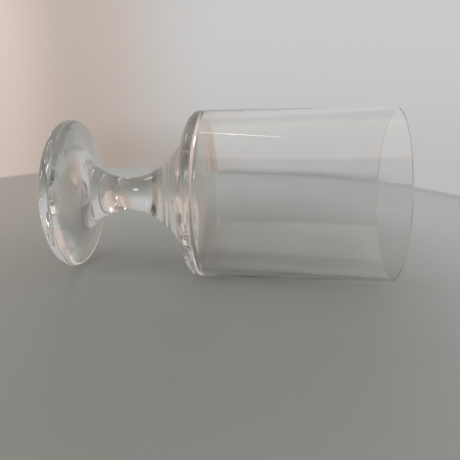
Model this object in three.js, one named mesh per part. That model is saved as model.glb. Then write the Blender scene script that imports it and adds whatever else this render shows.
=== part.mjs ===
// Stemmed drinking glass in clear glass: a domed foot, a solid waisted stem and a straight-sided bowl,
// made as three gathers and fused end to end on flat faces.
// Millimetres, +Z up, origin at the middle of the foot, on the surface that the glass stands on.
import * as THREE from 'three';

// Foot
const FOOT_DIAMETER = 58.8;
const FOOT_EDGE = 4.4; // thickness of the foot at its edge
const FOOT_TOP_ROUND = 2.2; // radius between the edge and the dome
const FOOT_BASE_ROUND = 1.8; // radius between the edge and the standing ring
const STANDING_RING = 3; // width of the flat ring that touches the table
const KICK_DEPTH = 7; // height of the bell-shaped hollow inside the standing ring
const KICK_CROWN_PULL = 7.2; // how far the hollow's curve stays level at its crown
const KICK_RING_PULL = 19.2; // how far it follows the ring
const KICK_RING_SLOPE = 2; // degrees that it climbs at the ring
const DOME_SLOPE = 16; // degrees that the dome climbs towards the stem

// Stem
const ROOT_DIAMETER = 27.6; // where the dome turns up into the stem
const ROOT_RISE = 16.2; // from there up to the waist
const ROOT_DOME_PULL = 1.2; // how far the root's curve follows the dome
const ROOT_WAIST_PULL = 8.2; // how far it follows the waist
const WAIST_DIAMETER = 12.9;
const STEM_BELOW_WAIST = 12; // the stem's lower end, fused to the foot
const STEM_ABOVE_WAIST = 11.5; // the stem's upper end, fused to the bowl

// Bowl
const FLARE_RISE = 24.3; // from the waist up to the bowl's shoulder
const FLARE_WAIST_PULL = 12.2; // how far the flare follows the waist
const FLARE_SHOULDER_PULL = 6.7; // how far it follows the shoulder
const SHOULDER_DIAMETER = 51.5;
const SHOULDER_SLOPE = 11.5; // degrees that the shoulder climbs outwards
const CORNER_RISE = 5.15; // from the shoulder up to the straight wall
const CORNER_FULLNESS = 0.58; // 0 is a chamfer, 1 a sharp corner
const WALL_BASE_DIAMETER = 64.8; // outside, where the straight wall starts
const WALL_HEIGHT = 73; // from there up to the rim
const RIM_DIAMETER = 66;
const RIM_THICKNESS = 1.2;
const WALL_BASE_THICKNESS = 3.2; // thins evenly from here up to the rim
const FLOOR_THICKNESS = 4.2; // glass under the edge of the bowl's floor
const FLOOR_DISH = 2.4; // how far the floor's middle lies below its edge
const INNER_CORNER = 3.4; // height of the curve from the floor to the inner wall
const FLOOR_CORNER = 3.4; // width of that curve

// Facets
const TURN_STEPS = 64;
const CURVE_STEPS = 12;
const ROUND_STEPS = 6;

// Sizes that follow from the ones above
const footRadius = FOOT_DIAMETER / 2;
const domeAngle = THREE.MathUtils.degToRad(DOME_SLOPE);
const kickAngle = THREE.MathUtils.degToRad(KICK_RING_SLOPE);
const rootRadius = ROOT_DIAMETER / 2;
const waistRadius = WAIST_DIAMETER / 2;
const shoulderRadius = SHOULDER_DIAMETER / 2;
const shoulderAngle = THREE.MathUtils.degToRad(SHOULDER_SLOPE);
const wallRadius = WALL_BASE_DIAMETER / 2;
const rimRadius = RIM_DIAMETER / 2;

const topRoundCentre = new THREE.Vector2(footRadius - FOOT_TOP_ROUND, FOOT_EDGE - FOOT_TOP_ROUND);
const domeEdge = new THREE.Vector2(
  topRoundCentre.x + FOOT_TOP_ROUND * Math.sin(domeAngle),
  topRoundCentre.y + FOOT_TOP_ROUND * Math.cos(domeAngle),
);
const root = new THREE.Vector2(rootRadius, domeEdge.y + (domeEdge.x - rootRadius) * Math.tan(domeAngle));
const waist = new THREE.Vector2(waistRadius, root.y + ROOT_RISE);
const shoulder = new THREE.Vector2(shoulderRadius, waist.y + FLARE_RISE);
const wallFoot = new THREE.Vector2(wallRadius, shoulder.y + CORNER_RISE);
const height = wallFoot.y + WALL_HEIGHT;
const footJoint = waist.y - STEM_BELOW_WAIST;
const bowlJoint = waist.y + STEM_ABOVE_WAIST;

// A profile point: radius from the axis, height above the table.
function at(radius, level) {
  return new THREE.Vector2(radius, level);
}

// Arc of a profile, counterclockwise in degrees from straight outwards.
function arc(centre, radius, from, to) {
  const start = THREE.MathUtils.degToRad(from);
  const end = THREE.MathUtils.degToRad(to);
  return new THREE.EllipseCurve(centre.x, centre.y, radius, radius, start, end).getPoints(ROUND_STEPS);
}

// A shallow dish, level on the axis, from its middle out to its edge.
function dish(middle, edge) {
  return new THREE.QuadraticBezierCurve(middle, at(edge.x / 2, middle.y), edge).getPoints(ROUND_STEPS);
}

function bezier(start, startPull, endPull, end, steps) {
  return new THREE.CubicBezierCurve(start, startPull, endPull, end).getPoints(steps);
}

// The unbroken outside from the foot's edge to the top of the wall: dome, root, waist, flare, corner, wall.
function outside() {
  const alongDome = at(-Math.cos(domeAngle), Math.sin(domeAngle));
  const alongShoulder = at(Math.cos(shoulderAngle), Math.sin(shoulderAngle));
  const sharpCorner = shoulder.clone();
  sharpCorner.addScaledVector(alongShoulder, (wallRadius - shoulderRadius) / alongShoulder.x);
  const rootCurve = bezier(
    root,
    root.clone().addScaledVector(alongDome, ROOT_DOME_PULL),
    at(waistRadius, waist.y - ROOT_WAIST_PULL),
    waist,
    CURVE_STEPS,
  );
  const flareCurve = bezier(
    waist,
    at(waistRadius, waist.y + FLARE_WAIST_PULL),
    shoulder.clone().addScaledVector(alongShoulder, -FLARE_SHOULDER_PULL),
    shoulder,
    CURVE_STEPS + ROUND_STEPS,
  );
  const cornerCurve = bezier(
    shoulder,
    shoulder.clone().lerp(sharpCorner, CORNER_FULLNESS),
    wallFoot.clone().lerp(sharpCorner, CORNER_FULLNESS),
    wallFoot,
    ROUND_STEPS,
  );
  const wallTop = at(rimRadius, height - RIM_THICKNESS / 2);
  return [domeEdge, ...rootCurve, ...flareCurve.slice(1), ...cornerCurve.slice(1), wallTop];
}

// Where a rising profile crosses a level.
function crossing(profile, level) {
  const next = profile.findIndex((point) => point.y > level);
  const lower = profile[next - 1];
  const upper = profile[next];
  return lower.clone().lerp(upper, (level - lower.y) / (upper.y - lower.y));
}

// The stretch of a rising profile from a level to its end.
function above(profile, low) {
  return [crossing(profile, low), ...profile.filter((point) => point.y > low)];
}

// The stretch of a rising profile between two levels.
function between(profile, low, high) {
  return [...above(profile, low).filter((point) => point.y < high), crossing(profile, high)];
}

// The hollow under the foot, the standing ring and the rounded edge, up to the dome.
function footBase() {
  const ringOutside = footRadius - FOOT_BASE_ROUND;
  const kickRadius = ringOutside - STANDING_RING;
  const kick = bezier(
    at(0, KICK_DEPTH),
    at(KICK_CROWN_PULL, KICK_DEPTH),
    at(kickRadius - KICK_RING_PULL, KICK_RING_PULL * Math.tan(kickAngle)),
    at(kickRadius, 0),
    CURVE_STEPS,
  );
  const baseRound = arc(at(ringOutside, FOOT_BASE_ROUND), FOOT_BASE_ROUND, -90, 0);
  const topRound = arc(topRoundCentre, FOOT_TOP_ROUND, 0, 90 - DOME_SLOPE);
  return [...kick, ...baseRound, ...topRound.slice(0, -1)];
}

// The lip, the inner wall and the dished floor, down to the axis.
function bowlInside() {
  const lipRound = RIM_THICKNESS / 2;
  const lip = arc(at(rimRadius - lipRound, height - lipRound), lipRound, 0, 180);
  const floorEdge = at(wallRadius - WALL_BASE_THICKNESS - FLOOR_CORNER, shoulder.y + FLOOR_THICKNESS);
  const floorMiddle = at(0, floorEdge.y - FLOOR_DISH);
  const cornerTop = at(wallRadius - WALL_BASE_THICKNESS, floorEdge.y + INNER_CORNER);
  const alongFloor = at(1, (2 * FLOOR_DISH) / floorEdge.x);
  const corner = bezier(
    cornerTop,
    at(cornerTop.x, cornerTop.y - INNER_CORNER / 2),
    floorEdge.clone().addScaledVector(alongFloor, FLOOR_CORNER / 2),
    floorEdge,
    ROUND_STEPS,
  );
  const floor = dish(floorMiddle, floorEdge).reverse();
  return [...lip.slice(1), ...corner, ...floor.slice(1)];
}

// A closed profile turned about the upright axis.
function turned(name, profile, material) {
  const geometry = new THREE.LatheGeometry(profile, TURN_STEPS);
  geometry.rotateX(Math.PI / 2);
  const mesh = new THREE.Mesh(geometry, material);
  mesh.name = name;
  return mesh;
}

function clearGlass(tint) {
  return new THREE.MeshStandardMaterial({
    color: tint,
    roughness: 0.03,
    metalness: 0,
    transparent: true,
    opacity: 0.35,
  });
}

const profile = outside();

const foot = turned(
  'foot',
  [...footBase(), ...between(profile, domeEdge.y, footJoint), at(0, footJoint)],
  clearGlass(0xd9dfdc),
);

const stem = turned(
  'stem',
  [at(0, footJoint), ...between(profile, footJoint, bowlJoint), at(0, bowlJoint)],
  clearGlass(0xdbe0dd),
);

const bowl = turned(
  'bowl',
  [at(0, bowlJoint), ...above(profile, bowlJoint), ...bowlInside()],
  clearGlass(0xe2e6e4),
);

const glass = new THREE.Group();
glass.add(foot, stem, bowl);

export default glass;
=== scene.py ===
"""Stemmed drinking glass in clear glass, lying on a pale table.

Its foot, stem and bowl are turned from their profiles and fused end to end.
"""
import math
from typing import NamedTuple

import bpy
from mathutils import Euler, Matrix, Vector


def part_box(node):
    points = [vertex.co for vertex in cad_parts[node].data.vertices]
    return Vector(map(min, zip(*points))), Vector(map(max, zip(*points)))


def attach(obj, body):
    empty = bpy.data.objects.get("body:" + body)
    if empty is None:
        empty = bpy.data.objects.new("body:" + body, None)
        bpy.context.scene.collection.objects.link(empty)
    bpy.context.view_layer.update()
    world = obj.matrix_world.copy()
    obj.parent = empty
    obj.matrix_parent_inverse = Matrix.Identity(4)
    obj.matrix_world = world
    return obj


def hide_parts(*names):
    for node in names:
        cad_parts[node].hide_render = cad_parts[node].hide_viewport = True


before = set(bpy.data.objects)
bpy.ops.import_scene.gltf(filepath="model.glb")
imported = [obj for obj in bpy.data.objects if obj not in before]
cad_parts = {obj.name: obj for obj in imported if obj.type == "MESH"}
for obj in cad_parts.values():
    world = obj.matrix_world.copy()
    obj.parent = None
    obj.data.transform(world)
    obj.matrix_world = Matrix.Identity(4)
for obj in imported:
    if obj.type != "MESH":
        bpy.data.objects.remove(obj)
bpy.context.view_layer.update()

bl_info = {
    "name": "Stemmed Glass",
    "version": (1, 0, 0),
    "blender": (4, 5, 0),
    "location": "3D View > Sidebar > Glass",
    "description": "Turns a stemmed drinking glass from its profiles and lays it on a pale table",
    "category": "Add Mesh",
}

MM = 0.001
BODY = "root"

FOOT_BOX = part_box("foot")
BOWL_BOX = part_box("bowl")


# Sizes and colours that a user would change


def length(name, description, millimetres):
    """A size of the glass, kept in metres."""
    return bpy.props.FloatProperty(
        name=name,
        description=description,
        default=millimetres * MM,
        precision=5,
        unit="LENGTH",
        subtype="DISTANCE",
    )


def angle(name, description, degrees):
    """A slope, kept in radians."""
    return bpy.props.FloatProperty(
        name=name,
        description=description,
        default=math.radians(degrees),
        unit="ROTATION",
        subtype="ANGLE",
    )


def share(name, description, value):
    """A number between 0 and 1."""
    return bpy.props.FloatProperty(
        name=name,
        description=description,
        default=value,
        min=0,
        max=1,
        subtype="FACTOR",
    )


def colour(name, description, value):
    """A scene-linear colour."""
    return bpy.props.FloatVectorProperty(
        name=name,
        description=description,
        default=value,
        min=0,
        max=1,
        subtype="COLOR",
    )


class FootSizes(bpy.types.PropertyGroup):
    """Sizes of the domed foot"""

    radius: length("Radius", "From the axis to the foot's edge", FOOT_BOX[1].x / MM)
    edge: length("Edge", "Thickness of the foot at its edge", 4.4)
    top_round: length("Top round", "Radius between the edge and the dome", 2.2)
    base_round: length("Base round", "Radius between the edge and the standing ring", 1.8)
    standing_ring: length("Standing ring", "Width of the flat ring that touches the table", 3.0)
    kick_depth: length("Kick", "Height of the bell-shaped hollow inside the standing ring", 7.0)
    kick_crown_pull: length("Kick crown pull", "How far the hollow stays level at its crown", 7.2)
    kick_ring_pull: length("Kick ring pull", "How far the hollow's curve follows the ring", 19.2)
    kick_ring_slope: angle("Kick ring slope", "How steeply the hollow climbs at the ring", 2.0)
    dome_slope: angle("Dome slope", "How steeply the dome climbs towards the stem", 16.0)
    joint: length("Joint", "Level of the face that the stem is fused to", FOOT_BOX[1].z / MM)


class StemSizes(bpy.types.PropertyGroup):
    """Sizes of the waisted stem"""

    root_radius: length("Root radius", "Where the dome turns up into the stem", 13.8)
    root_rise: length("Root rise", "From there up to the waist", 16.2)
    root_dome_pull: length("Root dome pull", "How far the root's curve follows the dome", 1.2)
    root_waist_pull: length("Root waist pull", "How far the root's curve follows the waist", 8.2)
    waist_radius: length("Waist radius", "Half the thickness at the waist", 6.45)


class BowlSizes(bpy.types.PropertyGroup):
    """Sizes of the straight-sided bowl"""

    joint: length("Joint", "Level of the face that the stem is fused to", BOWL_BOX[0].z / MM)
    flare_rise: length("Flare rise", "From the waist up to the bowl's shoulder", 24.3)
    flare_waist_pull: length("Flare waist pull", "How far the flare follows the waist", 12.2)
    flare_shoulder_pull: length("Flare shoulder pull", "How far the flare follows the shoulder", 6.7)
    shoulder_radius: length("Shoulder radius", "Where the flare turns into the shoulder", 25.75)
    shoulder_slope: angle("Shoulder slope", "How steeply the shoulder climbs outwards", 11.5)
    corner_rise: length("Corner rise", "From the shoulder up to the straight wall", 5.15)
    corner_fullness: share("Corner fullness", "0 is a chamfer, 1 a sharp corner", 0.58)
    wall_radius: length("Wall radius", "Outside, where the straight wall starts", 32.4)
    rim_radius: length("Rim radius", "Outside, at the rim", BOWL_BOX[1].x / MM)
    rim_level: length("Rim level", "Height of the rim above the foot's base", BOWL_BOX[1].z / MM)
    rim_thickness: length("Rim thickness", "Thickness of the rounded lip", 1.2)
    wall_thickness: length("Wall thickness", "Thickness at the foot of the wall", 3.2)
    floor_thickness: length("Floor thickness", "Glass under the edge of the floor", 4.2)
    floor_dish: length("Floor dish", "How far the floor's middle lies below its edge", 2.4)
    inner_corner: length("Inner corner", "Height of the curve from the floor to the wall", 3.4)
    floor_corner: length("Floor corner", "Width of the curve from the floor to the wall", 3.4)


class GlassFinish(bpy.types.PropertyGroup):
    """Finish of the clear glass"""

    tint: colour("Tint", "Colour that the thin wall passes", (0.994, 0.988, 0.983))
    foot_tint: colour("Foot tint", "Colour that the solid foot passes", (0.875, 0.86, 0.835))
    stem_tint: colour("Stem tint", "Colour that the solid stem passes", (0.91, 0.90, 0.88))
    corner_tint: colour("Corner tint", "Colour that the glass under the bowl passes", (0.85, 0.83, 0.79))
    cloud: colour("Cloud", "How much less the cloudier patches pass", (0.97, 0.975, 0.972))
    stem_level: length("Stem level", "Where the foot passes into the stem", 12.0)
    flare_level: length("Flare level", "Where the stem passes into the glass under the bowl", 42.0)
    solid_level: length("Solid level", "Up to here the glass is solid", 51.0)
    wall_level: length("Wall level", "From here it is a thin wall", 55.5)
    solid_waves: length("Solid waves", "Depth of the waves in the solid glass", 0.1)
    wall_waves: length("Wall waves", "Depth of the waves in the thin wall", 0.03)
    waves_level: length("Waves level", "Up to here the solid glass's waves fade out", 75.0)


class StageSetup(bpy.types.PropertyGroup):
    """Colours of the table, the backdrop and the light"""

    # Painted shade: the table top is darker round the glass and lighter away from it.
    table: colour("Table", "Table top around the glass", (0.211, 0.215, 0.198))
    table_far_lit: colour("Far table", "Table top away from the glass", (0.362, 0.385, 0.378))
    table_warm: colour("Warm table", "Table top on the foot's side", (0.29, 0.272, 0.24))
    # Painted shadow right under the glass.
    table_contact_shadow: colour("Table contact", "How much darker it is right under the glass", (0.8, 0.8, 0.79))
    # Painted shade along the table's far edge.
    table_border_shade: colour("Table border", "How much darker its far edge is", (0.80, 0.80, 0.79))
    wall: colour("Wall", "Backdrop straight ahead and to the rim's side", (0.588, 0.588, 0.59))
    wall_warm: colour("Warm wall", "Backdrop on the foot's side", (0.535, 0.455, 0.40))
    wall_glow: colour("Glowing wall", "Backdrop at the far left", (0.72, 0.60, 0.555))
    # Painted shade on the backdrop just above the table.
    wall_base_shade: colour("Wall base", "How much darker it is just above the table", (0.86, 0.85, 0.85))
    # Painted shade on the backdrop behind the stem.
    wall_corner_shade: colour("Wall corner", "How much darker still it is behind the stem", (0.86, 0.83, 0.79))
    # Painted shade on the backdrop along the table's edge.
    wall_edge_shade: colour("Wall edge", "How much darker it is along the table's edge", (0.58, 0.58, 0.575))
    room: colour("Room", "What lies behind the camera at its own height", (0.15, 0.165, 0.16))
    room_high: colour("High room", "What lies behind the camera above its height", (0.05, 0.045, 0.04))
    room_side: colour("Room side", "What lies behind the camera to either side", (0.37, 0.315, 0.27))
    ceiling: colour("Ceiling", "What lies overhead", (0.90, 0.86, 0.81))
    light: colour("Light", "Soft light from all round", (1.0, 0.99, 0.98))


# Profiles

INNER_CORNER_PULL = 0.5


class Profile:
    """A chain of Bezier curves in the half plane of radius and height."""

    def __init__(self, start):
        self.places = [start]
        self.pulls = []

    def line(self, end):
        """A straight stretch to end."""
        start = self.places[-1]
        self.curve(start.lerp(end, 1 / 3), start.lerp(end, 2 / 3), end)

    def curve(self, start_pull, end_pull, end):
        """A curve to end, shaped by its two pulls."""
        self.pulls.append((start_pull, end_pull))
        self.places.append(end)

    def arc(self, centre, sweep):
        """Part of a circle about centre, anticlockwise."""
        start = self.places[-1]
        spoke = start - centre
        spoke_end = Matrix.Rotation(sweep, 2) @ spoke
        reach = 4 / 3 * math.tan(sweep / 4)
        start_pull = start + reach * Vector((-spoke.y, spoke.x))
        end_pull = centre + spoke_end - reach * Vector((-spoke_end.y, spoke_end.x))
        self.curve(start_pull, end_pull, centre + spoke_end)

    def knots(self):
        """Each point with its left and right handles."""
        lefts = [self.places[0], *(pull[1] for pull in self.pulls)]
        rights = [*(pull[0] for pull in self.pulls), self.places[-1]]
        return list(zip(self.places, lefts, rights))


def at(radius, level):
    """A point of a profile."""
    return Vector((radius, level))


def edge_centre(foot):
    """Centre of the round between the foot's edge and its dome."""
    return at(foot.radius - foot.top_round, foot.edge - foot.top_round)


def dome_edge(foot):
    """Where the foot's rounded edge passes into its dome."""
    across_dome = at(math.sin(foot.dome_slope), math.cos(foot.dome_slope))
    return edge_centre(foot) + foot.top_round * across_dome


def root_place(foot, stem):
    """Where the dome turns up into the stem."""
    edge = dome_edge(foot)
    return at(stem.root_radius, edge.y + (edge.x - stem.root_radius) * math.tan(foot.dome_slope))


def waist_place(foot, stem):
    """The thinnest place of the stem."""
    return at(stem.waist_radius, root_place(foot, stem).y + stem.root_rise)


def shoulder_place(foot, stem, bowl):
    """Where the flare turns into the bowl's shoulder."""
    return at(bowl.shoulder_radius, waist_place(foot, stem).y + bowl.flare_rise)


def draw_root(profile, foot, stem):
    """The curve from the dome up to the waist."""
    root = root_place(foot, stem)
    waist = waist_place(foot, stem)
    along_dome = at(-math.cos(foot.dome_slope), math.sin(foot.dome_slope))
    profile.curve(root + stem.root_dome_pull * along_dome, waist - at(0, stem.root_waist_pull), waist)


def draw_flare(profile, foot, stem, bowl):
    """The curve from the waist up to the shoulder."""
    waist = waist_place(foot, stem)
    shoulder = shoulder_place(foot, stem, bowl)
    along_shoulder = at(math.cos(bowl.shoulder_slope), math.sin(bowl.shoulder_slope))
    shoulder_pull = shoulder - bowl.flare_shoulder_pull * along_shoulder
    profile.curve(waist + at(0, bowl.flare_waist_pull), shoulder_pull, shoulder)


def draw_corner(profile, foot, stem, bowl):
    """The curve from the shoulder up to the straight wall."""
    shoulder = shoulder_place(foot, stem, bowl)
    reach = bowl.wall_radius - bowl.shoulder_radius
    sharp = shoulder + at(reach, reach * math.tan(bowl.shoulder_slope))
    wall = at(bowl.wall_radius, shoulder.y + bowl.corner_rise)
    shoulder_pull = shoulder.lerp(sharp, bowl.corner_fullness)
    wall_pull = wall.lerp(sharp, bowl.corner_fullness)
    profile.curve(shoulder_pull, wall_pull, wall)


def draw_dish(profile, middle):
    """A parabola from the edge of a shallow dish to its level middle on the axis."""
    edge = profile.places[-1]
    bend = at((edge.x + middle.x) / 2, middle.y)
    profile.curve(edge.lerp(bend, 2 / 3), middle.lerp(bend, 2 / 3), middle)


def foot_profile(foot, stem):
    """From the middle of the underside round the edge and up to the waist."""
    ring_outside = foot.radius - foot.base_round
    kick_radius = ring_outside - foot.standing_ring
    kick_climb = foot.kick_ring_pull * math.tan(foot.kick_ring_slope)
    ring_pull = at(kick_radius - foot.kick_ring_pull, kick_climb)
    profile = Profile(at(0, foot.kick_depth))
    profile.curve(at(foot.kick_crown_pull, foot.kick_depth), ring_pull, at(kick_radius, 0))
    profile.line(at(ring_outside, 0))
    profile.arc(at(ring_outside, foot.base_round), math.pi / 2)
    profile.line(at(foot.radius, foot.edge - foot.top_round))
    profile.arc(edge_centre(foot), math.pi / 2 - foot.dome_slope)
    profile.line(root_place(foot, stem))
    draw_root(profile, foot, stem)
    profile.line(at(0, waist_place(foot, stem).y))
    return profile


def stem_profile(foot, stem, bowl):
    """From the dome through the waist to the shoulder."""
    root = root_place(foot, stem)
    profile = Profile(at(0, root.y))
    profile.line(root)
    draw_root(profile, foot, stem)
    draw_flare(profile, foot, stem, bowl)
    profile.line(at(0, shoulder_place(foot, stem, bowl).y))
    return profile


def bowl_profile(foot, stem, bowl):
    """From the waist over the outside and the lip to the middle of the floor."""
    waist = waist_place(foot, stem)
    lip = bowl.rim_thickness / 2
    lip_centre = at(bowl.rim_radius - lip, bowl.rim_level - lip)
    inner_radius = bowl.wall_radius - bowl.wall_thickness
    floor_level = shoulder_place(foot, stem, bowl).y + bowl.floor_thickness
    floor_edge = at(inner_radius - bowl.floor_corner, floor_level)
    floor_slope = 2 * bowl.floor_dish / floor_edge.x
    corner_top = at(inner_radius, floor_edge.y + bowl.inner_corner)
    wall_pull = corner_top - INNER_CORNER_PULL * at(0, bowl.inner_corner)
    floor_pull = floor_edge + INNER_CORNER_PULL * bowl.floor_corner * at(1, floor_slope)
    profile = Profile(at(0, waist.y))
    profile.line(waist)
    draw_flare(profile, foot, stem, bowl)
    draw_corner(profile, foot, stem, bowl)
    profile.line(at(bowl.rim_radius, bowl.rim_level - lip))
    profile.arc(lip_centre, math.pi / 2)
    profile.arc(lip_centre, math.pi / 2)
    profile.line(corner_top)
    profile.curve(wall_pull, floor_pull, floor_edge)
    draw_dish(profile, at(0, floor_edge.y - bowl.floor_dish))
    return profile


# Turning and cutting

TURN_STEPS = 192
CURVE_STEPS = 14
MERGE_DISTANCE = 0.002 * MM


def turn(name, profile):
    """Turns a profile about the upright axis into a closed piece."""
    bpy.ops.object.select_all(action="DESELECT")
    bpy.ops.curve.primitive_bezier_curve_add()
    piece = bpy.context.object
    piece.data.resolution_u = CURVE_STEPS
    knots = profile.knots()
    points = piece.data.splines[0].bezier_points
    points.add(len(knots) - len(points))
    for point, (place, left, right) in zip(points, knots):
        point.handle_left_type = "FREE"
        point.handle_right_type = "FREE"
        point.co = (place.x, 0, place.y)
        point.handle_left = (left.x, 0, left.y)
        point.handle_right = (right.x, 0, right.y)
    bpy.ops.object.convert(target="MESH")
    piece = bpy.context.object
    piece.name = name
    bpy.ops.object.mode_set(mode="EDIT")
    bpy.ops.mesh.select_all(action="SELECT")
    bpy.ops.mesh.spin(steps=TURN_STEPS, angle=math.tau, center=(0, 0, 0), axis=(0, 0, 1))
    bpy.ops.mesh.select_all(action="SELECT")
    bpy.ops.mesh.remove_doubles(threshold=MERGE_DISTANCE)
    bpy.ops.mesh.normals_make_consistent(inside=False)
    bpy.ops.object.mode_set(mode="OBJECT")
    return piece


def cut(level, keep_above):
    """Cuts the active piece flat at a level, and closes the cut."""
    bpy.ops.object.mode_set(mode="EDIT")
    bpy.ops.mesh.select_all(action="SELECT")
    bpy.ops.mesh.bisect(
        plane_co=(0, 0, level),
        plane_no=(0, 0, 1),
        use_fill=True,
        clear_inner=keep_above,
        clear_outer=not keep_above,
    )
    bpy.ops.mesh.select_all(action="SELECT")
    bpy.ops.mesh.normals_make_consistent(inside=False)
    bpy.ops.object.mode_set(mode="OBJECT")


# Shader nodes

UNCHANGED = (1.0, 1.0, 1.0)


def new_material(name):
    """A material, with its node tree and its shader."""
    material = bpy.data.materials.new(name)
    material.use_nodes = True
    return material, material.node_tree, material.node_tree.nodes["Principled BSDF"]


def feed(tree, socket, source):
    """Links an input to another node's output, or sets it to a plain value."""
    if isinstance(source, bpy.types.NodeSocket):
        tree.links.new(source, socket)
    elif socket.type == "RGBA":
        socket.default_value = (*source, 1)
    else:
        socket.default_value = source


def calculate(tree, operation, *values, clamp=False):
    """One step of arithmetic on numbers or other nodes' outputs."""
    step = tree.nodes.new("ShaderNodeMath")
    step.operation = operation
    step.use_clamp = clamp
    for socket, value in zip(step.inputs, values):
        feed(tree, socket, value)
    return step.outputs["Value"]


def vector_step(tree, operation, *vectors):
    """One step of arithmetic on vectors: its outputs."""
    step = tree.nodes.new("ShaderNodeVectorMath")
    step.operation = operation
    for socket, vector in zip(step.inputs, vectors):
        feed(tree, socket, vector)
    return step.outputs


def coordinates(tree, place):
    """The X, Y and Z of a place."""
    apart = tree.nodes.new("ShaderNodeSeparateXYZ")
    tree.links.new(place, apart.inputs["Vector"])
    return apart.outputs


def noise(tree, place, scale, detail):
    """Soft patches of noise."""
    patches = tree.nodes.new("ShaderNodeTexNoise")
    patches.inputs["Scale"].default_value = scale
    patches.inputs["Detail"].default_value = detail
    tree.links.new(place, patches.inputs["Vector"])
    return patches.outputs["Fac"]


def remap(tree, value, reach, results, smooth=False):
    """Carries the reach of a value over to a pair of results, and holds the ends."""
    ramp = tree.nodes.new("ShaderNodeMapRange")
    if smooth:
        ramp.interpolation_type = "SMOOTHSTEP"
    for name, number in zip(("From Min", "From Max", "To Min", "To Max"), (*reach, *results)):
        ramp.inputs[name].default_value = number
    tree.links.new(value, ramp.inputs["Value"])
    return ramp.outputs["Result"]


def blend(tree, value, reach, first, second):
    """Passes smoothly from the first colour to the second as a value climbs through its reach."""
    mix = tree.nodes.new("ShaderNodeMix")
    mix.data_type = "RGBA"
    tree.links.new(remap(tree, value, reach, (0.0, 1.0), smooth=True), mix.inputs["Factor"])
    feed(tree, mix.inputs["A"], first)
    feed(tree, mix.inputs["B"], second)
    return mix.outputs["Result"]


def multiply(tree, first, *others):
    """The product of colours."""
    product = first
    for other in others:
        mix = tree.nodes.new("ShaderNodeMix")
        mix.data_type = "RGBA"
        mix.blend_type = "MULTIPLY"
        mix.inputs["Factor"].default_value = 1.0
        tree.links.new(product, mix.inputs["A"])
        tree.links.new(other, mix.inputs["B"])
        product = mix.outputs["Result"]
    return product


# Glass

GLASS_IOR = 1.5
TINT_REACH = 4 * MM
HAZE_SCALE = 60.0
HAZE_DETAIL = 4.0
CLOUD_REACH = (0.4, 0.8)
ROUGH_REACH = (0.5, 0.8)
ROUGHNESS = (0.0, 0.01)
WAVE_SCALE = 90.0
WAVE_DETAIL = 1.0
SMOOTH_ANGLE = math.radians(40)
SAME_LEVEL = 0.001 * MM
FUSED_SLOT = 1


def glass_tint(tree, finish, height):
    """What the glass passes in the foot, the stem, the glass under the bowl and the thin wall."""
    stem_reach = (finish.stem_level - TINT_REACH, finish.stem_level + TINT_REACH)
    flare_reach = (finish.flare_level - TINT_REACH, finish.flare_level + TINT_REACH)
    wall_reach = (finish.solid_level, finish.wall_level)
    stem = blend(tree, height, stem_reach, finish.foot_tint, finish.stem_tint)
    solid = blend(tree, height, flare_reach, stem, finish.corner_tint)
    return blend(tree, height, wall_reach, solid, finish.tint)


def glass_waves(tree, finish, place, height):
    """The faint waves of a fire-polished surface, shallower in the thin wall."""
    wave_reach = (finish.wall_level, finish.waves_level)
    bump = tree.nodes.new("ShaderNodeBump")
    bump.inputs["Strength"].default_value = 1.0
    depth = remap(tree, height, wave_reach, (finish.solid_waves, finish.wall_waves))
    tree.links.new(depth, bump.inputs["Distance"])
    tree.links.new(noise(tree, place, WAVE_SCALE, WAVE_DETAIL), bump.inputs["Height"])
    return bump.outputs["Normal"]


def clear_glass(name, finish):
    """Fire-polished clear glass: faintly wavy, with a trace of haze in patches."""
    material, tree, shader = new_material(f"{name}_glass")
    shader.inputs["IOR"].default_value = GLASS_IOR
    shader.inputs["Transmission Weight"].default_value = 1.0
    place = tree.nodes.new("ShaderNodeTexCoord").outputs["Object"]
    height = coordinates(tree, place)["Z"]
    haze = noise(tree, place, HAZE_SCALE, HAZE_DETAIL)
    cloud = blend(tree, haze, CLOUD_REACH, UNCHANGED, finish.cloud)
    tint = multiply(tree, glass_tint(tree, finish, height), cloud)
    tree.links.new(tint, shader.inputs["Base Color"])
    tree.links.new(remap(tree, haze, ROUGH_REACH, ROUGHNESS), shader.inputs["Roughness"])
    tree.links.new(glass_waves(tree, finish, place, height), shader.inputs["Normal"])
    return material


def fused_face():
    """The inside of a fused joint, which glass shows nothing of."""
    name = "fused_face"
    if name in bpy.data.materials:
        return bpy.data.materials[name]
    material, _, shader = new_material(name)
    shader.inputs["Alpha"].default_value = 0.0
    return material


def finish_piece(piece, finish, levels):
    """Gives a piece its glass, and leaves its fused faces clear."""
    bpy.ops.object.shade_smooth_by_angle(angle=SMOOTH_ANGLE)
    piece.data.materials.clear()
    piece.data.materials.append(clear_glass(piece.name, finish))
    piece.data.materials.append(fused_face())
    for face in piece.data.polygons:
        if any(abs(face.center.z - level) < SAME_LEVEL for level in levels):
            face.material_index = FUSED_SLOT


# Pieces


def place_in_frame(piece, cad_node):
    """Puts a finished piece in the place of its CAD node."""
    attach(piece, BODY)
    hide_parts(cad_node)


class GLASS_OT_foot(bpy.types.Operator):
    """Turn the domed foot"""

    bl_idname = "glass.foot"
    bl_label = "Foot"

    def execute(self, context):
        scene = context.scene
        piece = turn("glass_foot", foot_profile(scene.glass_foot, scene.glass_stem))
        cut(scene.glass_foot.joint, keep_above=False)
        finish_piece(piece, scene.glass_finish, [scene.glass_foot.joint])
        place_in_frame(piece, "foot")
        return {"FINISHED"}


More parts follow.
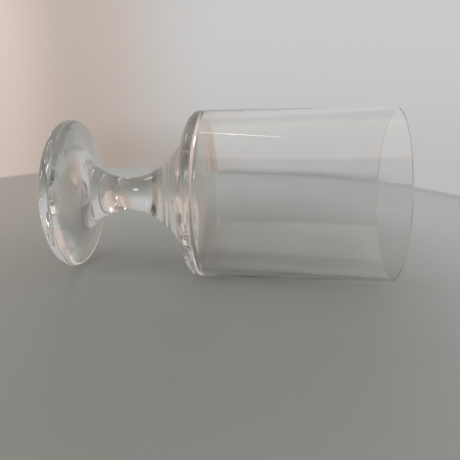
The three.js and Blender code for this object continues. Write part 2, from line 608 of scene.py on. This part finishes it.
class GLASS_OT_stem(bpy.types.Operator):
    """Turn the waisted stem"""

    bl_idname = "glass.stem"
    bl_label = "Stem"

    def execute(self, context):
        scene = context.scene
        piece = turn("glass_stem", stem_profile(scene.glass_foot, scene.glass_stem, scene.glass_bowl))
        cut(scene.glass_foot.joint, keep_above=True)
        cut(scene.glass_bowl.joint, keep_above=False)
        finish_piece(piece, scene.glass_finish, [scene.glass_foot.joint, scene.glass_bowl.joint])
        place_in_frame(piece, "stem")
        return {"FINISHED"}


class GLASS_OT_bowl(bpy.types.Operator):
    """Turn the bowl with its trumpet base"""

    bl_idname = "glass.bowl"
    bl_label = "Bowl"

    def execute(self, context):
        scene = context.scene
        piece = turn("glass_bowl", bowl_profile(scene.glass_foot, scene.glass_stem, scene.glass_bowl))
        cut(scene.glass_bowl.joint, keep_above=True)
        finish_piece(piece, scene.glass_finish, [scene.glass_bowl.joint])
        place_in_frame(piece, "bowl")
        return {"FINISHED"}


# The table's frame and the camera in it

LYING_SIDE = Vector((-1, 1, 0)).normalized()
UPRIGHT = Vector((0, 0, 1))

CAMERA_PLACE = Vector((78.88, -192.43, 71.0)) * MM
CAMERA_TURN = Euler((math.radians(74.748), math.radians(-2.487), math.radians(5.668)))
CAMERA_LENS = 38.97
CAMERA_SENSOR = 36.0
CAMERA_NEAR = 5 * MM


def table_frame(foot, stem, bowl):
    """The frame of the table that the glass lies on.

    Its origin is where the foot's edge touches, X runs to the rim's end, Y away from the camera and Z up.
    """
    wall_level = shoulder_place(foot, stem, bowl).y + bowl.corner_rise
    origin = foot.radius * LYING_SIDE + foot.base_round * UPRIGHT
    corner = bowl.wall_radius * LYING_SIDE + wall_level * UPRIGHT
    right = (corner - origin).normalized()
    away = right.cross(LYING_SIDE).normalized()
    up = right.cross(away)
    turned = Matrix((right, away, up)).transposed().to_4x4()
    return Matrix.Translation(origin) @ turned


def add_camera(table):
    """The camera at the photograph's viewing angle."""
    bpy.ops.object.camera_add()
    camera = bpy.context.object
    camera.name = "camera"
    camera.matrix_world = table @ Matrix.Translation(CAMERA_PLACE) @ CAMERA_TURN.to_matrix().to_4x4()
    camera.data.lens = CAMERA_LENS
    camera.data.sensor_width = CAMERA_SENSOR
    camera.data.clip_start = CAMERA_NEAR
    bpy.context.scene.camera = camera


# Table top, with places in the table's frame

TABLE_SIZE = 3.0
TABLE_DROP = 0.05 * MM
TABLE_CENTRE = Vector((58, 91, 0)) * MM
TABLE_RADIUS = 213 * MM
TABLE_FADE = 8 * MM
TABLE_SHADED_BORDER = 30 * MM
TABLE_ROUGHNESS = 0.35
BORDER_SHADE_SIDE = (-100 * MM, 0.0)
WARM_SLANT = 0.35
WARM_REACH = (-50 * MM, 30 * MM)
# Painted shade: a pool of darker table top round the glass.
SHADE_POOL_PLACE = Vector((44, -18, 0)) * MM
SHADE_POOL_SHAPE = (0.85, 0.6, 1.0)
SHADE_POOL_REACH = (35 * MM, 150 * MM)
CONTACT_SHADOW_PLACE = Vector((60, 9, 0)) * MM
CONTACT_SHADOW_SIZE = Vector((95, 24, 1000)) * MM
CONTACT_SHADOW_REACH = (0.2, 1.0)


def contact_shade(tree, stage, place):
    """A painted shadow right under the glass: a darker patch of table top."""
    apart = vector_step(tree, "SUBTRACT", place, CONTACT_SHADOW_PLACE)["Vector"]
    shares = vector_step(tree, "DIVIDE", apart, CONTACT_SHADOW_SIZE)["Vector"]
    reach = vector_step(tree, "LENGTH", shares)["Value"]
    return blend(tree, reach, CONTACT_SHADOW_REACH, stage.table_contact_shadow, UNCHANGED)


def table_reach(tree, spot):
    """How far a spot lies from the middle of a table top with a round far end."""
    back = calculate(tree, "MAXIMUM", spot["Y"], TABLE_CENTRE.y)
    level = tree.nodes.new("ShaderNodeCombineXYZ")
    tree.links.new(spot["X"], level.inputs["X"])
    tree.links.new(back, level.inputs["Y"])
    return vector_step(tree, "DISTANCE", level.outputs["Vector"], TABLE_CENTRE)["Value"]


def table_tone_and_shade(tree, stage, place, spot):
    """Painted shade in a pool round the glass, lighter away from it, and warmer on the foot's side."""
    slant = calculate(tree, "MULTIPLY_ADD", spot["Y"], WARM_SLANT, spot["X"])
    far = blend(tree, slant, WARM_REACH, stage.table_warm, stage.table_far_lit)
    shape = vector_step(tree, "MULTIPLY", place, SHADE_POOL_SHAPE)["Vector"]
    shade_pool = vector_step(tree, "DISTANCE", shape, SHADE_POOL_PLACE)["Value"]
    return blend(tree, shade_pool, SHADE_POOL_REACH, stage.table, far)


def table_finish(stage):
    """Satin table top, seen from above only, that fades out at its far edge."""
    material, tree, shader = new_material("table_top")
    shader.inputs["Roughness"].default_value = TABLE_ROUGHNESS
    place = tree.nodes.new("ShaderNodeTexCoord").outputs["Object"]
    spot = coordinates(tree, place)
    reach = table_reach(tree, spot)
    border_shade_reach = (TABLE_RADIUS - TABLE_SHADED_BORDER, TABLE_RADIUS)
    fade_reach = (TABLE_RADIUS - TABLE_FADE, TABLE_RADIUS + TABLE_FADE)
    # Painted shade along the table's far edge, strongest behind the glass.
    edge_shade = blend(tree, spot["X"], BORDER_SHADE_SIDE, UNCHANGED, stage.table_border_shade)
    border_shade = blend(tree, reach, border_shade_reach, UNCHANGED, edge_shade)
    tone = table_tone_and_shade(tree, stage, place, spot)
    # The painted shade at the far edge and the painted shadow under the glass darken the tone.
    shaded = multiply(tree, tone, border_shade, contact_shade(tree, stage, place))
    tree.links.new(shaded, shader.inputs["Base Color"])
    fade = remap(tree, reach, fade_reach, (1.0, 0.0), smooth=True)
    underside = tree.nodes.new("ShaderNodeNewGeometry").outputs["Backfacing"]
    front = calculate(tree, "SUBTRACT", fade, underside, clamp=True)
    tree.links.new(front, shader.inputs["Alpha"])
    return material


def add_table(table, stage):
    """The plain table top that the glass lies on."""
    bpy.ops.object.select_all(action="DESELECT")
    bpy.ops.mesh.primitive_plane_add(size=TABLE_SIZE)
    top = bpy.context.object
    top.name = "table_top"
    top.matrix_world = table @ Matrix.Translation((0, 0, -TABLE_DROP))
    top.data.materials.append(table_finish(stage))


# Backdrop, with directions in the table's frame: side to the rim's end, forward from the camera, and up

WARM_SIDE = (-0.38, -0.12)
GLOW_SIDE = (-0.51, -0.38)
# Painted shade on the backdrop: low down, behind the stem and along the table's edge.
BASE_SHADE_UP = (-0.2, 0.13)
CORNER_SHADE_LEFT = (-0.40, -0.30)
CORNER_SHADE_RIGHT = (-0.20, -0.05)
CORNER_SHADE_UP = (-0.13, -0.03)
EDGE_SHADE_SLANT = 0.03
EDGE_SHADE_UP = (-0.144, -0.118)
EDGE_SHADE_LEFT = (-0.25, -0.1)
EDGE_SHADE_RIGHT = (0.05, 0.26)
ROOM_UP = (0.35, 0.5)
ROOM_LEFT = (-0.3, -0.1)
ROOM_RIGHT = (0.08, 0.22)
ROOM_FORWARD = (-0.5, 0.4)
BEYOND_UP = (0.35, 0.6)
BEYOND_FORWARD = (0.1, 0.5)
BEYOND_SIDE = (0.45, 0.75)
CEILING_SIDE = (0.25, 0.5)
CEILING_UP = (0.81, 0.87)
LIGHT_STRENGTH = 0.93
BOUNCED_SHARE = 0.72


def lit_wall(tree, stage, side, up):
    """The wall ahead: warmer on the foot's side, with painted shade low down, behind the stem and along
    the table's edge.
    """
    warm = blend(tree, side, WARM_SIDE, stage.wall_warm, stage.wall)
    wall = blend(tree, side, GLOW_SIDE, stage.wall_glow, warm)
    # Painted shade low down on the wall.
    base = blend(tree, up, BASE_SHADE_UP, stage.wall_base_shade, UNCHANGED)
    # Painted shade on the wall behind the stem, near the table.
    left_corner_shade = blend(tree, side, CORNER_SHADE_LEFT, UNCHANGED, stage.wall_corner_shade)
    corner = blend(tree, side, CORNER_SHADE_RIGHT, left_corner_shade, UNCHANGED)
    low_corner_shade = blend(tree, up, CORNER_SHADE_UP, corner, UNCHANGED)
    # Painted shade in a strip along the table's edge behind the glass.
    slant = calculate(tree, "MULTIPLY_ADD", side, EDGE_SHADE_SLANT, up)
    low_edge_shade = blend(tree, slant, EDGE_SHADE_UP, stage.wall_edge_shade, UNCHANGED)
    left_edge_shade = blend(tree, side, EDGE_SHADE_LEFT, UNCHANGED, low_edge_shade)
    edge = blend(tree, side, EDGE_SHADE_RIGHT, left_edge_shade, UNCHANGED)
    return multiply(tree, wall, base, low_corner_shade, edge)


def surroundings(tree, stage, side, forward, up):
    """All that is seen around the glass: the wall ahead, the room behind the camera and the ceiling."""
    wall = lit_wall(tree, stage, side, up)
    room = blend(tree, up, ROOM_UP, stage.room, stage.room_high)
    right_room = blend(tree, side, ROOM_RIGHT, room, stage.room_side)
    behind = blend(tree, side, ROOM_LEFT, stage.room_side, right_room)
    ahead = blend(tree, forward, ROOM_FORWARD, behind, wall)
    beyond = blend(tree, up, BEYOND_UP, stage.room_side, stage.room_high)
    right = blend(tree, forward, BEYOND_FORWARD, beyond, wall)
    around = blend(tree, side, BEYOND_SIDE, ahead, right)
    overhead = blend(tree, side, CEILING_SIDE, stage.ceiling, stage.room_high)
    return blend(tree, up, CEILING_UP, around, overhead)


def seen_share(tree):
    """1 where the surroundings are seen, straight or in glass, and less after each dull bounce."""
    path = tree.nodes.new("ShaderNodeLightPath").outputs
    direct = calculate(tree, "MAXIMUM", path["Is Camera Ray"], path["Is Glossy Ray"])
    shown = calculate(tree, "MAXIMUM", direct, path["Is Transmission Ray"])
    bounced = calculate(tree, "MULTIPLY", path["Diffuse Depth"], BOUNCED_SHARE)
    return calculate(tree, "SUBTRACT", shown, bounced, clamp=True)


def add_world(table, stage):
    """The surroundings for what is seen, and even soft light for the rest."""
    world = bpy.data.worlds.new("backdrop")
    bpy.context.scene.world = world
    world.use_nodes = True
    tree = world.node_tree
    tree.nodes.clear()
    direction = tree.nodes.new("ShaderNodeTexCoord").outputs["Generated"]
    axes = [table.col[axis].to_3d() for axis in range(3)]
    side, forward, up = (vector_step(tree, "DOT_PRODUCT", direction, axis)["Value"] for axis in axes)
    backdrop = tree.nodes.new("ShaderNodeBackground")
    feed(tree, backdrop.inputs["Color"], surroundings(tree, stage, side, forward, up))
    light = tree.nodes.new("ShaderNodeBackground")
    feed(tree, light.inputs["Color"], stage.light)
    feed(tree, light.inputs["Strength"], LIGHT_STRENGTH)
    mix = tree.nodes.new("ShaderNodeMixShader")
    tree.links.new(seen_share(tree), mix.inputs["Fac"])
    tree.links.new(light.outputs["Background"], mix.inputs[1])
    tree.links.new(backdrop.outputs["Background"], mix.inputs[2])
    output = tree.nodes.new("ShaderNodeOutputWorld")
    tree.links.new(mix.outputs["Shader"], output.inputs["Surface"])


# Lamps


class Lamp(NamedTuple):
    """A soft lamp, placed in the table's frame in metres and turned about its own beam."""

    name: str
    place: tuple
    size: tuple
    power: float
    shade: tuple
    twist: float = 0.0
    seen_through_glass: bool = True


LAMP_TARGET = Vector((0.06, 0.0, 0.03))
LAMPS = (
    Lamp(
        name="overhead",
        place=(-0.12, 0.075, 1.2),
        size=(0.013, 0.32),
        power=0.15,
        shade=(1.0, 0.98, 0.95),
        twist=math.radians(-20),
        seen_through_glass=False,
    ),
    Lamp(
        name="window",
        place=(-0.79, -0.65, 0.55),
        size=(0.24, 0.24),
        power=1.8,
        shade=(0.80, 0.92, 1.0),
    ),
    Lamp(
        name="side",
        place=(-1.3, 0.7, 1.0),
        size=(0.3, 0.3),
        power=0.9,
        shade=(1.0, 0.97, 0.94),
    ),
)


def add_lamp(lamp, table):
    """Hangs a lamp and aims it at the glass."""
    bpy.ops.object.light_add(type="AREA")
    light = bpy.context.object
    light.name = lamp.name
    light.data.shape = "RECTANGLE"
    light.data.size = lamp.size[0]
    light.data.size_y = lamp.size[1]
    light.data.energy = lamp.power
    light.data.color = lamp.shade
    light.visible_camera = False
    light.visible_transmission = lamp.seen_through_glass
    place = Vector(lamp.place)
    aim = (LAMP_TARGET - place).to_track_quat("-Z", "Y").to_matrix().to_4x4()
    light.matrix_world = table @ Matrix.Translation(place) @ aim @ Matrix.Rotation(lamp.twist, 4, "Z")


# Stage and add-on

BOUNCES = 32


class GLASS_OT_stage(bpy.types.Operator):
    """Set out the table, the backdrop, the light and the camera"""

    bl_idname = "glass.stage"
    bl_label = "Stage"

    def execute(self, context):
        scene = context.scene
        table = table_frame(scene.glass_foot, scene.glass_stem, scene.glass_bowl)
        add_camera(table)
        add_table(table, scene.glass_stage)
        add_world(table, scene.glass_stage)
        for lamp in LAMPS:
            add_lamp(lamp, table)
        scene.view_settings.view_transform = "Standard"
        scene.cycles.max_bounces = BOUNCES
        scene.cycles.transmission_bounces = BOUNCES
        scene.cycles.glossy_bounces = BOUNCES
        scene.cycles.transparent_max_bounces = BOUNCES
        scene.cycles.blur_glossy = 0.0
        return {"FINISHED"}


class GLASS_PT_panel(bpy.types.Panel):
    """The glass's pieces and stage, with their sizes and colours"""

    bl_label = "Stemmed Glass"
    bl_idname = "GLASS_PT_panel"
    bl_space_type = "VIEW_3D"
    bl_region_type = "UI"
    bl_category = "Glass"

    def draw(self, context):
        for operator in OPERATORS:
            self.layout.operator(operator.bl_idname)
        for name, group in GROUPS.items():
            self.layout.label(text=group.__doc__)
            for setting in group.__annotations__:
                self.layout.prop(getattr(context.scene, name), setting)


GROUPS = {
    "glass_foot": FootSizes,
    "glass_stem": StemSizes,
    "glass_bowl": BowlSizes,
    "glass_finish": GlassFinish,
    "glass_stage": StageSetup,
}
OPERATORS = (GLASS_OT_foot, GLASS_OT_stem, GLASS_OT_bowl, GLASS_OT_stage)


def register():
    for name, group in GROUPS.items():
        bpy.utils.register_class(group)
        setattr(bpy.types.Scene, name, bpy.props.PointerProperty(type=group))
    for operator in OPERATORS:
        bpy.utils.register_class(operator)
    bpy.utils.register_class(GLASS_PT_panel)


def unregister():
    bpy.utils.unregister_class(GLASS_PT_panel)
    for operator in reversed(OPERATORS):
        bpy.utils.unregister_class(operator)
    for name, group in reversed(GROUPS.items()):
        delattr(bpy.types.Scene, name)
        bpy.utils.unregister_class(group)


def main():
    register()
    bpy.ops.glass.stage()
    bpy.ops.glass.foot()
    bpy.ops.glass.stem()
    bpy.ops.glass.bowl()


if __name__ == "__main__":
    main()
